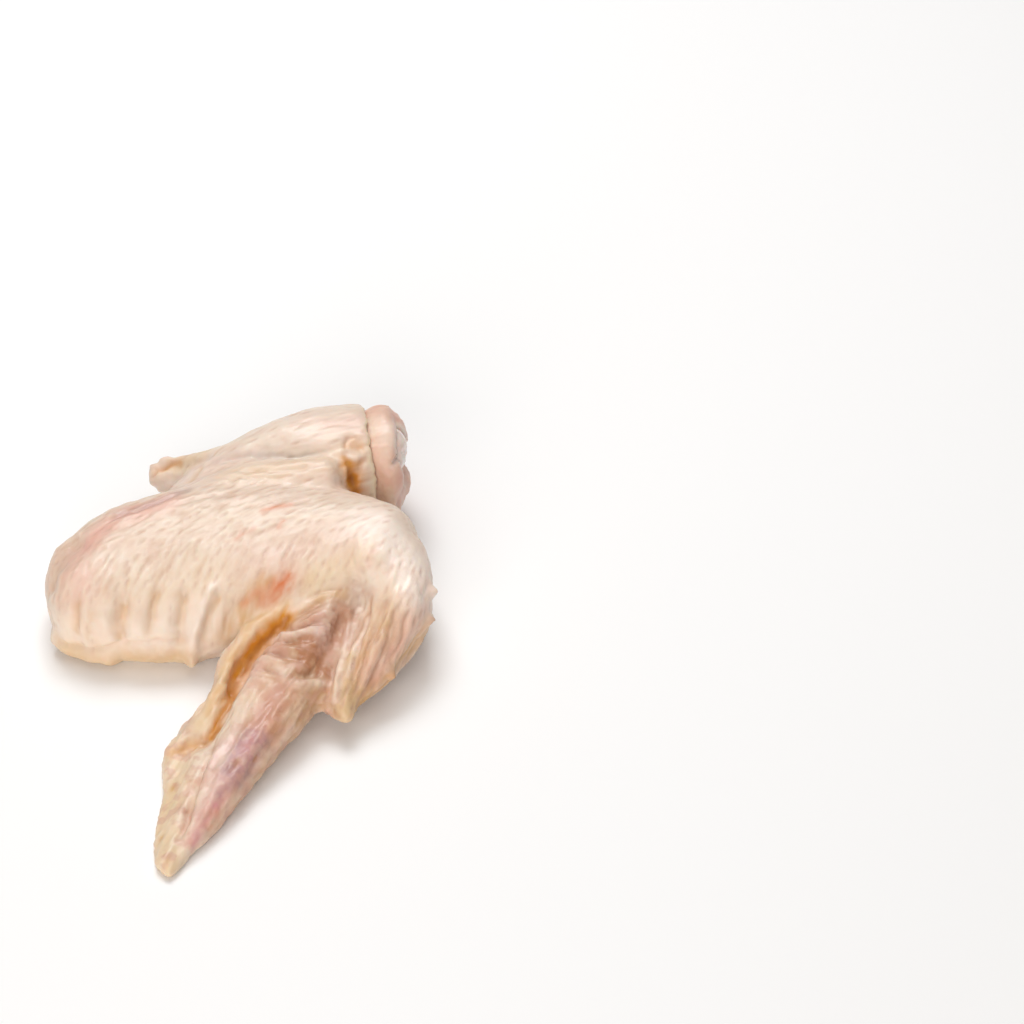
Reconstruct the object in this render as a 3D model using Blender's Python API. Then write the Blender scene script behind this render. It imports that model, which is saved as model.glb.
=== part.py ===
"""A raw chicken wing, folded as it lies on a table: drumette behind, flat in front, tip out to the front.

The elbow is at -X. From there the drumette runs back and to +X, where it ends in the shoulder cut,
and the flat runs along +X to the wrist. The thumb hangs over the wrist's front, and the tip comes out
from under it, down to the table. A fold of loose skin lies in the crook between drumette and flat.

Three solids: the skin-covered wing, the shoulder muscle that shows at the cut and runs down inside the
drumette, and the upper arm bone that runs down inside the muscle and shows its gristle cap at the cut.

Sizes below are in millimetres. The last step stands the wing on Z = 0 with its box centred on Z.
"""

import math

import bmesh
import bpy
import numpy as np
from mathutils import Matrix, Vector

MM = 0.001

# Fit between the pieces, and how the skin is made one surface.
CLEARANCE = 0.4
SKIN_VOXEL = 1.1
SKIN_SMOOTHING = 0.5
SKIN_SMOOTH_PASSES = 5
SKIN_TRIANGLES = 8200
MUSCLE_TRIANGLES = 1500
TABLE = 1.6  # height that the soft underside flattens at

# A station is a cross-section of a limb: centre x, y, z, half width, half height and roll in degrees.
FLAT = (
    (-38.0, 3.9, 11.4, 14.6, 10.6, 6.0),
    (-34.0, 4.4, 11.8, 17.2, 11.1, 9.0),
    (-24.0, 6.6, 12.5, 21.0, 11.4, 14.0),
    (-8.0, 9.0, 13.8, 22.5, 11.8, 17.0),
    (8.0, 9.8, 15.6, 21.0, 12.0, 16.0),
    (22.0, 10.2, 16.2, 18.5, 12.0, 12.0),
    (34.0, 8.8, 17.0, 14.6, 11.8, 6.0),
)
THUMB = (
    (20.0, 9.0, 16.0, 16.0, 11.5, 8.0),
    (32.0, 5.5, 16.0, 14.0, 11.4, 4.0),
    (37.6, -3.5, 14.2, 8.6, 10.0, 0.0),
    (36.0, -12.5, 12.6, 7.6, 8.2, 0.0),
    (30.6, -20.5, 11.2, 7.0, 6.4, 0.0),
    (27.4, -26.4, 9.8, 5.4, 5.0, 0.0),
    (24.6, -32.4, 8.6, 3.4, 3.4, 0.0),
)
TIP = (
    (20.5, -6.0, 12.4, 12.0, 9.0, 6.0),
    (12.4, -22.0, 9.6, 12.5, 7.0, 9.0),
    (5.4, -36.0, 7.2, 11.0, 5.8, 9.0),
    (0.2, -48.0, 5.8, 8.8, 4.8, 7.0),
    (-4.2, -60.0, 4.6, 6.6, 3.8, 5.0),
    (-8.2, -70.0, 3.6, 4.4, 3.0, 2.0),
    (-11.6, -76.5, 2.8, 2.8, 2.2, 0.0),
)
DRUMETTE = (
    (-31.0, 6.0, 11.6, 11.0, 10.0, 0.0),
    (-18.0, 18.5, 11.6, 10.8, 10.2, 0.0),
    (-5.0, 33.0, 13.6, 12.2, 12.0, 0.0),
    (9.0, 40.5, 16.2, 14.2, 14.4, 0.0),
    (20.0, 43.0, 17.0, 15.4, 15.6, 0.0),
    (29.5, 44.6, 17.0, 15.2, 15.4, 0.0),
)
CROOK_FOLD = (
    (-24.0, 14.0, 14.0, 9.0, 6.0, 0.0),
    (-10.0, 24.5, 19.5, 8.0, 6.2, 0.0),
    (2.0, 28.0, 22.8, 6.6, 6.4, 0.0),
    (12.0, 29.0, 24.0, 6.2, 6.4, 0.0),
    (20.6, 29.4, 24.0, 5.8, 6.8, 0.0),
)
CROOK_WEB = (
    (-18.0, 12.0, 10.0, 10.0, 9.0, 0.0),
    (-4.0, 22.0, 12.0, 12.0, 9.0, 0.0),
    (10.0, 27.0, 14.0, 9.0, 8.0, 0.0),
)
ELBOW_FLAP = (
    (6.0, 42.0, 21.0, 5.0, 6.0, 0.0),
    (-7.0, 43.2, 16.6, 5.0, 6.0, 0.0),
    (-16.0, 45.0, 13.8, 4.4, 4.4, 0.0),
    (-21.4, 46.0, 12.6, 3.8, 3.2, 0.0),
)
TIP_ROLL = (
    (10.8, -9.0, 15.4, 3.0, 3.0, 0.0),
    (4.4, -14.6, 13.8, 3.0, 3.0, 0.0),
    (-0.6, -20.2, 11.8, 2.6, 3.0, 0.0),
    (-3.6, -29.2, 9.6, 2.4, 2.8, 0.0),
    (-8.6, -37.8, 6.8, 2.4, 2.6, 0.0),
    (-12.6, -43.9, 4.6, 2.2, 2.2, 0.0),
)
TIP_FLAP = (
    (-7.0, -36.0, 4.0, 4.6, 3.2, 0.0),
    (-11.2, -46.0, 3.2, 3.6, 2.6, 0.0),
    (-10.4, -56.0, 2.8, 3.8, 2.2, 0.0),
    (-11.8, -66.0, 2.4, 3.4, 1.9, 0.0),
    (-12.4, -74.5, 2.2, 2.4, 1.7, 0.0),
)
MUSCLE = (
    (-2.0, 35.0, 14.2, 9.6, 9.4, 0.0),
    (9.0, 40.5, 16.2, 11.9, 12.1, 0.0),
    (20.0, 43.0, 17.0, 13.0, 13.2, 0.0),
    (30.8, 44.7, 17.0, 12.6, 12.8, 0.0),
    (32.8, 45.0, 17.1, 14.6, 14.8, 0.0),
    (34.2, 45.2, 17.0, 14.4, 14.6, 0.0),
)
MUSCLE_UPPER_LOBE = (
    (30.0, 46.5, 20.0, 5.0, 5.0, 0.0),
    (34.0, 48.4, 22.4, 7.2, 7.0, 0.0),
    (35.6, 48.8, 22.8, 6.2, 6.2, 0.0),
)
MUSCLE_LOWER_LOBE = (
    (30.0, 43.0, 13.0, 5.0, 5.0, 0.0),
    (34.0, 42.0, 11.0, 8.0, 7.0, 0.0),
    (35.2, 41.6, 10.6, 6.8, 6.0, 0.0),
)
BONE = (
    (1.0, 37.0, 15.0, 3.0, 3.0, 0.0),
    (14.0, 41.6, 18.4, 3.4, 3.4, 0.0),
    (26.0, 43.0, 22.2, 4.2, 4.2, 0.0),
    (32.0, 42.6, 23.6, 5.6, 5.6, 0.0),
    (36.0, 42.4, 24.0, 5.4, 5.4, 0.0),
)
RINGS_PER_STATION = 9
SIDES = 32
BONE_RINGS_PER_STATION = 3
BONE_SIDES = 18
SQUARENESS = 2.35

# A furrow is pressed into the skin along a line of points: depth, half width, then the points.
# One with a negative depth stands up as a ridge or a knob. Its ends fade out over FURROW_FADE.
FURROW_FADE = 4.0
FURROWS = (
    # beside the rolled skin edge that runs down the tip's rear side
    (2.4, 1.8, ((13.3, -12.9, 18.6), (8.8, -16.5, 16.5), (3.5, -22.0, 13.7), (0.7, -30.4, 12.1))),
    (1.9, 1.7, ((1.4, -27.0, 12.4), (-2.0, -39.5, 10.7), (-4.3, -43.7, 9.7), (-7.8, -44.6, 6.9))),
    # the hollow of the wrist joint, its fold above and its sinew below
    (2.6, 3.0, ((26.0, -10.5, 20.2), (24.6, -16.7, 18.3), (22.9, -21.9, 16.8), (18.2, -30.6, 14.8))),
    (1.2, 1.4, ((14.8, -14.5, 18.7), (17.5, -12.2, 19.8), (20.3, -10.4, 20.6), (27.5, -8.3, 18.8))),
    (-1.1, 1.3, ((14.0, -29.2, 15.7), (16.0, -31.9, 14.8), (19.8, -30.7, 13.9), (23.8, -28.7, 13.0))),
    # folds down the thumb
    (0.8, 1.4, ((30.8, -7.3, 19.2), (29.1, -14.4, 17.7), (27.5, -22.9, 16.1))),
    (0.8, 1.4, ((35.3, -9.8, 21.4), (33.2, -19.9, 18.0), (29.5, -30.1, 13.4))),
    (0.8, 1.4, ((39.3, -12.5, 20.7), (36.7, -21.7, 16.5), (31.3, -30.3, 12.0))),
    # troughs between the quill roots along the flat's front edge
    (0.7, 1.8, ((-37.9, -3.9, 20.8), (-38.2, -8.6, 14.0), (-37.7, -9.7, 7.2))),
    (1.2, 1.8, ((-26.8, -1.6, 21.9), (-26.8, -9.5, 16.5), (-26.3, -12.9, 9.2))),
    (0.7, 1.8, ((-18.9, -5.3, 20.5), (-18.6, -11.0, 15.5), (-18.3, -13.6, 8.5))),
    (0.7, 1.8, ((-12.2, -4.2, 21.1), (-12.8, -10.4, 15.6), (-13.3, -13.0, 7.0))),
    (0.7, 1.8, ((-5.6, -5.6, 20.7), (-6.4, -10.6, 15.8), (-7.4, -12.9, 9.2))),
    (0.7, 1.8, ((0.5, -6.0, 21.1), (-1.4, -10.5, 16.8), (-2.8, -12.6, 11.4))),
    # the tip's bone as a low ridge, and the thin skin beside it
    (-0.8, 2.2, ((13.7, -33.1, 14.6), (8.3, -44.6, 11.5), (2.8, -55.1, 9.2), (-3.2, -66.9, 6.9))),
    (1.0, 1.4, ((-4.6, -44.8, 9.5), (-6.3, -54.3, 8.4), (-7.2, -64.4, 7.4), (-8.7, -74.7, 5.4))),
    # the wrist's knob with the wrinkle that rings it
    (-1.4, 2.6, ((30.6, -0.4, 26.2), (34.2, 0.4, 25.4))),
    (0.8, 1.1, ((26.9, 3.2, 27.0), (27.5, -1.9, 25.2), (30.6, -4.6, 23.0), (35.2, -4.8, 23.8))),
    # the elbow flap's groove and the valley behind the crook's fold
    (1.2, 1.5, ((-21.6, 44.8, 15.0), (-15.1, 42.9, 18.5), (-7.2, 39.4, 24.8))),
    (1.2, 1.6, ((-4.4, 35.5, 26.4), (1.7, 35.8, 28.3), (11.4, 33.7, 29.3), (21.0, 34.5, 30.2))),
    # a torn pocket by the shoulder cut, and a quill stump on the flat's front edge
    (1.6, 2.2, ((24.6, 37.0, 31.0), (28.2, 36.4, 30.4))),
    (-2.4, 1.8, ((-11.4, -11.0, 3.6), (-9.2, -10.6, 3.2))),
)


def eased_stations(stations, per_gap):
    """Every station's numbers on one smooth curve through them, with per_gap rings to each gap."""
    rows = np.array(stations, float)
    padded = np.vstack((2 * rows[0] - rows[1], rows, 2 * rows[-1] - rows[-2]))
    rings = []
    for gap in range(len(rows) - 1):
        before, start, end, after = padded[gap : gap + 4]
        for step in range(per_gap):
            t = step / per_gap
            rings.append(
                0.5
                * (
                    2 * start
                    + (end - before) * t
                    + (2 * before - 5 * start + 4 * end - after) * t**2
                    + (3 * start - before - 3 * end + after) * t**3
                )
            )
    rings.append(rows[-1])
    return np.array(rings)


def ring_points(row, direction, share, shift, squareness, sides):
    """One closed cross-section, scaled to share of its size and shifted along the limb."""
    centre = Vector(row[:3]) + direction * shift
    side = Vector((0, 0, 1)).cross(direction).normalized()
    up = direction.cross(side)
    roll = math.radians(row[5])
    wide = (side * math.cos(roll) + up * math.sin(roll)) * row[3] * share
    high = (up * math.cos(roll) - side * math.sin(roll)) * row[4] * share
    points = []
    for index in range(sides):
        angle = 2 * math.pi * index / sides
        c, s = math.cos(angle), math.sin(angle)
        across = math.copysign(abs(c) ** (2 / squareness), c)
        along = math.copysign(abs(s) ** (2 / squareness), s)
        points.append(centre + wide * across + high * along)
    return points


def add_limb(
    mesh,
    stations,
    start_dome,
    end_dome,
    squareness=SQUARENESS,
    per_gap=RINGS_PER_STATION,
    sides=SIDES,
):
    """Adds a closed limb through its stations to a bmesh, with rounded ends of the given lengths."""
    rows = eased_stations(stations, per_gap)
    directions = [Vector(step).normalized() for step in np.gradient(rows[:, :3], axis=0)]
    first, last = (rows[0], directions[0]), (rows[-1], directions[-1])
    steps = 5
    angles = [math.pi / 2 * step / (steps + 0.4) for step in range(1, steps + 1)]
    rings = []
    for angle in reversed(angles):
        shift = -start_dome * math.sin(angle)
        rings.append(ring_points(*first, math.cos(angle), shift, squareness, sides))
    for row, direction in zip(rows, directions):
        rings.append(ring_points(row, direction, 1.0, 0.0, squareness, sides))
    for angle in angles:
        shift = end_dome * math.sin(angle)
        rings.append(ring_points(*last, math.cos(angle), shift, squareness, sides))
    loops = [[mesh.verts.new(point * MM) for point in ring] for ring in rings]
    for low, high in zip(loops, loops[1:]):
        for index in range(sides):
            after = (index + 1) % sides
            mesh.faces.new((low[index], low[after], high[after], high[index]))
    mesh.faces.new(reversed(loops[0]))
    mesh.faces.new(loops[-1])


def new_object(name, mesh, material=None):
    bmesh.ops.recalc_face_normals(mesh, faces=mesh.faces)
    data = bpy.data.meshes.new(name)
    mesh.to_mesh(data)
    mesh.free()
    made = bpy.data.objects.new(name, data)
    bpy.context.scene.collection.objects.link(made)
    if material:
        data.materials.append(material)
    return made


def plain_material(name, colour, roughness):
    material = bpy.data.materials.new(name)
    material.use_nodes = True
    shader = material.node_tree.nodes["Principled BSDF"]
    shader.inputs["Base Color"].default_value = (*colour, 1.0)
    shader.inputs["Roughness"].default_value = roughness
    shader.inputs["Metallic"].default_value = 0.0
    return material


def freeze(made):
    """Puts the object's evaluated mesh in place of its modifiers."""
    graph = bpy.context.evaluated_depsgraph_get()
    graph.update()
    data = bpy.data.meshes.new_from_object(made.evaluated_get(graph))
    made.modifiers.clear()
    made.data = data


def nearness_to_line(places, points, half_width):
    """1 on a line through the points, fading beside it and towards its two ends."""
    steps = [np.subtract(end, start) for start, end in zip(points, points[1:])]
    lengths = [float(np.linalg.norm(step)) for step in steps]
    nearest = np.full(len(places), np.inf)
    reached = np.zeros(len(places))
    passed = 0.0
    for start, step, length in zip(points, steps, lengths):
        share = np.clip((places - np.array(start)) @ step / length**2, 0.0, 1.0)
        gap = np.linalg.norm(places - np.array(start) - share[:, None] * step, axis=1)
        closer = gap < nearest
        nearest = np.where(closer, gap, nearest)
        reached = np.where(closer, passed + share * length, reached)
        passed += length
    to_end = np.minimum(reached, sum(lengths) - reached)
    fade = np.clip(0.25 + to_end / FURROW_FADE, 0.0, 1.0)
    return np.exp(-((nearest / half_width) ** 2)) * fade


def vertex_array(made, what):
    values = np.empty(len(made.data.vertices) * 3)
    made.data.vertices.foreach_get(what, values)
    return values.reshape(-1, 3)


def press_furrows(made):
    """Moves the skin along its normals at each furrow."""
    places, normals = vertex_array(made, "co") / MM, vertex_array(made, "normal")
    moved = np.zeros(len(places))
    for depth, half_width, points in FURROWS:
        moved -= depth * nearness_to_line(places, points, half_width)
    places += normals * moved[:, None]
    made.data.vertices.foreach_set("co", (places * MM).ravel())
    made.data.update()


def flatten_underside(made, table):
    """Nothing reaches below the table's height, and what nearly touches it lies flat on it."""
    places = vertex_array(made, "co")
    low = places[:, 2] < (table + 0.05) * MM
    places[low, 2] = table * MM
    made.data.vertices.foreach_set("co", places.ravel())
    made.data.update()


def fuse(made, triangles, relief):
    """One soft surface round all the limbs of a piece, flat where it rests, in few triangles."""
    remesh = made.modifiers.new("one surface", "REMESH")
    remesh.mode = "VOXEL"
    remesh.voxel_size = SKIN_VOXEL * MM
    smooth = made.modifiers.new("soften the joins", "SMOOTH")
    smooth.factor = SKIN_SMOOTHING
    smooth.iterations = SKIN_SMOOTH_PASSES
    freeze(made)
    if relief:
        press_furrows(made)
    flatten_underside(made, TABLE)
    thin = made.modifiers.new("fewer faces", "DECIMATE")
    thin.ratio = triangles / (2 * len(made.data.polygons))
    freeze(made)
    flatten_underside(made, TABLE)


def bore(made, core):
    """Cuts the room for a core out of a piece, CLEARANCE larger than the core all round."""
    cutter = bpy.data.objects.new(core.name + " room", core.data.copy())
    bpy.context.scene.collection.objects.link(cutter)
    grown = vertex_array(cutter, "co") + vertex_array(cutter, "normal") * CLEARANCE * MM
    cutter.data.vertices.foreach_set("co", grown.ravel())
    cutter.data.update()
    cutter.hide_render = True
    cutter.display_type = "WIRE"
    cut = made.modifiers.new("room for the " + core.name, "BOOLEAN")
    cut.operation = "DIFFERENCE"
    cut.solver = "EXACT"
    cut.object = cutter


def build_skin(material):
    mesh = bmesh.new()
    add_limb(mesh, FLAT, 7.8, 9.0, 2.5)
    add_limb(mesh, THUMB, 4.0, 3.0)
    add_limb(mesh, TIP, 4.0, 2.0)
    add_limb(mesh, DRUMETTE, 7.0, 1.0, 2.1)
    add_limb(mesh, CROOK_FOLD, 5.0, 3.0, 2.1)
    add_limb(mesh, CROOK_WEB, 5.0, 5.0)
    add_limb(mesh, ELBOW_FLAP, 5.0, 3.6)
    add_limb(mesh, TIP_ROLL, 3.0, 2.0, 2.0)
    add_limb(mesh, TIP_FLAP, 3.0, 2.0)
    wing = new_object("wing", mesh, material)
    fuse(wing, SKIN_TRIANGLES, relief=True)
    return wing


def build_muscle(material):
    mesh = bmesh.new()
    add_limb(mesh, MUSCLE, 5.0, 2.6, 2.1)
    add_limb(mesh, MUSCLE_UPPER_LOBE, 3.0, 3.0, 2.1)
    add_limb(mesh, MUSCLE_LOWER_LOBE, 3.0, 3.0, 2.1)
    muscle = new_object("muscle", mesh, material)
    fuse(muscle, MUSCLE_TRIANGLES, relief=False)
    return muscle


def build_bone(material):
    mesh = bmesh.new()
    add_limb(mesh, BONE, 2.0, 3.4, 2.1, BONE_RINGS_PER_STATION, BONE_SIDES)
    return new_object("humerus", mesh, material)


def stand_on_table(pieces):
    """Shifts the pieces together so that their common box stands on Z = 0, centred on Z."""
    graph = bpy.context.evaluated_depsgraph_get()
    graph.update()
    corners = []
    for piece in pieces:
        shown = piece.evaluated_get(graph).data
        corners += [vertex.co.copy() for vertex in shown.vertices]
    corners = np.array(corners)
    low, high = corners.min(axis=0), corners.max(axis=0)
    shift = Vector((-(low[0] + high[0]) / 2, -(low[1] + high[1]) / 2, -low[2]))
    for made in bpy.data.objects:
        made.data.transform(Matrix.Translation(shift))
    return shift


def main():
    for made in list(bpy.data.objects):
        bpy.data.objects.remove(made)
    skin = plain_material("skin", (0.83, 0.66, 0.53), 0.42)
    meat = plain_material("meat", (0.76, 0.45, 0.34), 0.38)
    gristle = plain_material("gristle", (0.88, 0.82, 0.78), 0.30)
    wing = build_skin(skin)
    muscle = build_muscle(meat)
    humerus = build_bone(gristle)
    bore(wing, muscle)
    bore(muscle, humerus)
    return stand_on_table([wing, muscle, humerus])


HOME_SHIFT = main()
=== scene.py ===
import math

import bpy
import numpy as np
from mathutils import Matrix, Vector


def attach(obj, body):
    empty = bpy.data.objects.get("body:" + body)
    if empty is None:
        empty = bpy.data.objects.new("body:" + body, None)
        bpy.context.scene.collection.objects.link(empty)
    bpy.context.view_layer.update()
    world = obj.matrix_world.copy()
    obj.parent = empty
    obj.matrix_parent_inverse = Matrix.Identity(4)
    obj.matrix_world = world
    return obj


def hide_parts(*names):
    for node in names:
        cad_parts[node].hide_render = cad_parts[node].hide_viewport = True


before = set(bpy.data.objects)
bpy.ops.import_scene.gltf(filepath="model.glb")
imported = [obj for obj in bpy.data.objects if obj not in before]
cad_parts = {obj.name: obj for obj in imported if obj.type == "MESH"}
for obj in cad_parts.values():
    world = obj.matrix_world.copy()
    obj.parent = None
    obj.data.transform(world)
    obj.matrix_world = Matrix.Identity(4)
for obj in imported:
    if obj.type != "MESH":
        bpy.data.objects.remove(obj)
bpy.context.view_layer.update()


# The skin: loose, moist poultry skin over the fat and meat of the flat, the wrist, the thumb, the tip
# and the drumette. It grows on the bird in one piece; the butcher's cut at the shoulder ends it.
# It is one fine surface over the solid, folded first along listed lines and then pitted by feather roots.

SKIN_GRAIN = 0.00056  # edge of the finest facets, metres
SKIN_IRONING = 9  # passes that take the solid's facets out
WELD_WITHIN = 0.00001  # metres
MM = 1000.0  # millimetres in a metre: lines, spots and widths are given in millimetres
STRAY = 0.55  # how far the folds and the tints stray from their lines
FOLD_FADE = 3.0  # how far from its ends a fold starts to run out
# FULL_FOLD: the depth from which a fold's painted shade is at its full.
FULL_FOLD = 1.2  # the depth from which a fold is tinted in full


def in_scene(name, data):
    """A new object of the scene."""
    made = bpy.data.objects.new(name, data)
    bpy.context.scene.collection.objects.link(made)
    return made


def settled(surface):
    """Puts an object's evaluated mesh in place of its modifiers."""
    graph = bpy.context.evaluated_depsgraph_get()
    graph.update()
    mesh = bpy.data.meshes.new_from_object(surface.evaluated_get(graph))
    surface.modifiers.clear()
    surface.data = mesh
    return surface


def fine_surface(node, name, grain, passes):
    """A copy of a solid as one even, smooth mesh of small squares."""
    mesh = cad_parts[node].data.copy()
    mesh.materials.clear()
    surface = in_scene(name, mesh)
    weld = surface.modifiers.new("weld", "WELD")
    weld.merge_threshold = WELD_WITHIN
    remesh = surface.modifiers.new("even", "REMESH")
    remesh.mode = "VOXEL"
    remesh.voxel_size = grain
    remesh.use_smooth_shade = True
    iron = surface.modifiers.new("iron", "SMOOTH")
    iron.factor = 0.5
    iron.iterations = passes
    return settled(surface)


def read_places(surface):
    """Where each vertex lies, in millimetres, and which way the surface faces there."""
    found = []
    for what in ("co", "normal"):
        values = np.empty(len(surface.data.vertices) * 3)
        surface.data.vertices.foreach_get(what, values)
        found.append(values.reshape(-1, 3))
    return found[0] * MM, found[1]


def move_to(surface, places):
    """Moves each vertex to its new place, given in millimetres."""
    surface.data.vertices.foreach_set("co", (places / MM).ravel())
    surface.data.update()


def store(surface, name, values):
    """Keeps one number for each vertex under a name that the colours read."""
    layer = surface.data.attributes.new(name, "FLOAT", "POINT")
    layer.data.foreach_set("value", np.asarray(values, np.float32))


def near_line(places, points, half_width, fade=0.0):
    """1 on a line through the points, falling off beside it and over the fade at its ends."""
    steps = [np.subtract(end, start) for start, end in zip(points, points[1:])]
    lengths = [float(np.linalg.norm(step)) for step in steps]
    nearest = np.full(len(places), 1e9)
    reached = np.zeros(len(places))
    passed = 0.0
    for start, step, length in zip(points, steps, lengths):
        share = np.clip((places - np.array(start)) @ step / length**2, 0.0, 1.0)
        gap = np.linalg.norm(places - np.array(start) - share[:, None] * step, axis=1)
        closer = gap < nearest
        nearest = np.where(closer, gap, nearest)
        reached = np.where(closer, passed + share * length, reached)
        passed += length
    to_end = np.minimum(reached, passed - reached)
    ends = np.clip(0.15 + to_end / fade, 0.0, 1.0) if fade else 1.0
    return np.exp(-((nearest / half_width) ** 2)) * ends


def near_spot(places, centre, radius):
    """1 at a point, falling off over the radius."""
    return np.exp(-((np.linalg.norm(places - np.array(centre), axis=1) / radius) ** 2))


def eased(value, low, high):
    """0 below low, 1 above high and an S between them."""
    share = np.clip((value - low) / (high - low), 0.0, 1.0)
    return share * share * (3.0 - 2.0 * share)


def cloudy(spots, seed):
    """Smooth noise from -1 to 1 that changes over one unit, the same for the same seed."""
    table = np.random.default_rng(seed).uniform(-1.0, 1.0, 8192)
    cell = np.floor(spots).astype(int)
    share = spots - cell
    share = share * share * (3.0 - 2.0 * share)
    total = np.zeros(len(spots))
    for corner in np.ndindex(2, 2, 2):
        drawn = table[((cell + corner) @ (1, 617, 5501)) % len(table)]
        total += drawn * np.prod(np.where(corner, share, 1.0 - share), axis=1)
    return total


def cloudy_ways(spots, seeds):
    """Smooth noise of its own for each of the three axes."""
    return np.stack([cloudy(spots, seed) for seed in seeds], axis=1)


def fibres(spots, direction, width, seed, stretch=5.0):
    """Noise drawn out along a direction, with streaks of one width."""
    along = np.array(direction, float) / np.linalg.norm(direction)
    across = np.cross(along, (0.31, 0.22, 0.93))
    across /= np.linalg.norm(across)
    third = np.cross(along, across)
    axes = np.stack((along / (stretch * width), across / width, third / width), axis=1)
    return 0.65 * cloudy(spots @ axes, seed) + 0.35 * cloudy(spots @ axes * 2.1, seed + 1)


def by_the_cut(x, y):
    """1 along the skin's open end at the shoulder, 0 away from it."""
    return eased(x, 27.5, 29.5) * eased(y, 34.0, 37.0)


skin = fine_surface("wing", "skin", SKIN_GRAIN, SKIN_IRONING)

# Folds and hollows of the skin: depth and half width in millimetres, then the line they follow.
# A negative depth stands up.
wrist_folds = [
    # the deep groove inside the rolled edge, and the roll itself
    (0.9, 1.4, [(13.3, -2.9, 16.5), (8.6, -5.5, 13.6), (3.2, -10.9, 10.7), (0.4, -18.8, 8.6)]),
    (1.3, 1.2, [(1.2, -16.5, 9.2), (-0.6, -24.4, 8.1), (-4.5, -32.9, 6.8), (-7.9, -34.1, 4.9)]),
    (-0.9, 1.8, [(11.7, 0.3, 17.4), (4.5, -4.8, 15.1), (0.2, -12.1, 12.3), (-2.6, -21.4, 9.7)]),
    (-0.6, 1.5, [(-1.2, -17.1, 10.7), (-4.2, -25.0, 8.7), (-6.5, -28.8, 7.3), (-9.3, -32.1, 6.0)]),
    (1.3, 2.8, [
        (-2.6, -14.0, 11.0), (-4.2, -18.6, 10.0), (-6.0, -23.6, 8.4), (-8.6, -28.0, 6.8),
        (-11.2, -32.0, 5.2),
    ]),
    # the hollow between thumb and tip
    (0.7, 1.6, [(25.9, -0.1, 17.7), (24.4, -5.2, 14.8), (22.7, -10.3, 13.2)]),
    (-0.9, 2.6, [(21.4, -14.0, 12.4), (18.6, -17.6, 12.6)]),
    # the lip where the flat's skin ends over the joint, and the folds of thin skin below it
    (-0.8, 1.8, [(15.5, -4.6, 16.4), (20.0, -3.4, 17.3), (24.5, -1.2, 17.3)]),
    (0.6, 0.6, [(13.7, -3.4, 16.6), (16.5, -1.8, 17.6), (19.2, 0.0, 18.5), (23.6, 1.2, 18.8)]),
    (0.5, 0.6, [(16.0, 0.6, 19.0), (20.0, 2.4, 19.9), (25.0, 3.4, 19.6)]),
    (0.8, 0.8, [(8.6, -5.0, 14.0), (13.4, -5.9, 16.0), (18.1, -6.4, 17.5), (22.6, -4.5, 16.7)]),
    (-0.6, 0.8, [(9.1, -6.4, 12.8), (14.0, -8.0, 16.4), (18.6, -7.2, 17.2), (22.6, -5.9, 15.4)]),
    (0.8, 0.8, [(8.2, -7.8, 12.4), (12.9, -9.9, 15.9), (17.4, -10.4, 16.4), (21.0, -9.9, 14.3)]),
    (-0.6, 0.9, [(7.2, -9.0, 12.0), (12.5, -11.8, 15.4), (16.5, -13.0, 15.7)]),
    (0.9, 0.8, [(5.3, -10.7, 11.1), (10.8, -13.4, 14.9), (15.0, -14.8, 15.2), (18.4, -15.2, 13.8)]),
    (-0.6, 0.9, [(4.8, -12.6, 10.4), (10.3, -15.4, 14.2), (13.8, -16.9, 14.6)]),
    (0.9, 0.7, [(15.5, -4.4, 16.4), (19.0, -3.6, 17.2), (22.4, -2.4, 17.4), (25.4, -0.6, 17.4)]),
    (-0.6, 0.7, [(16.0, -5.4, 17.0), (20.0, -4.8, 17.2), (24.0, -3.0, 16.4)]),
    (0.7, 0.7, [(12.0, -6.4, 15.0), (15.0, -9.0, 16.4), (19.6, -9.0, 16.6)]),
    (0.6, 0.8, [(20.4, -17.2, 12.2), (16.6, -19.0, 13.6), (12.0, -23.0, 13.0), (8.6, -28.0, 12.0)]),
    (0.5, 0.8, [(14.0, -22.0, 13.2), (10.4, -28.0, 12.2), (7.0, -34.0, 10.8)]),
    (0.7, 0.8, [(4.3, -14.5, 9.9), (8.8, -18.0, 13.5), (12.6, -19.8, 14.0)]),
    # the wrist's knob and the wrinkles round it
    (-0.9, 1.8, [(29.2, 9.4, 25.2), (32.4, 8.4, 24.6)]),
    (0.35, 0.7, [(27.3, 13.8, 26.0), (26.9, 10.0, 24.3), (28.8, 7.0, 22.6), (32.1, 5.3, 21.6)]),
    (0.3, 0.7, [(26.0, 11.8, 25.3), (25.6, 7.4, 23.5), (27.9, 4.7, 20.9), (32.2, 2.8, 20.1)]),
    (0.5, 0.7, [(31.0, 7.1, 23.8), (31.6, 10.0, 25.9), (34.6, 12.3, 26.0)]),
    # two sinews across the joint
    (-0.45, 1.1, [(11.1, -17.4, 14.1), (12.9, -21.1, 13.8), (16.4, -22.4, 13.8), (23.0, -19.3, 11.5)]),
    (0.4, 0.8, [(14.2, -24.3, 13.1), (16.9, -24.0, 12.2), (20.0, -22.5, 11.0)]),
    (-0.35, 0.8, [(15.5, -25.0, 12.4), (19.1, -23.4, 11.3), (23.1, -21.7, 10.7)]),
]
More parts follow.
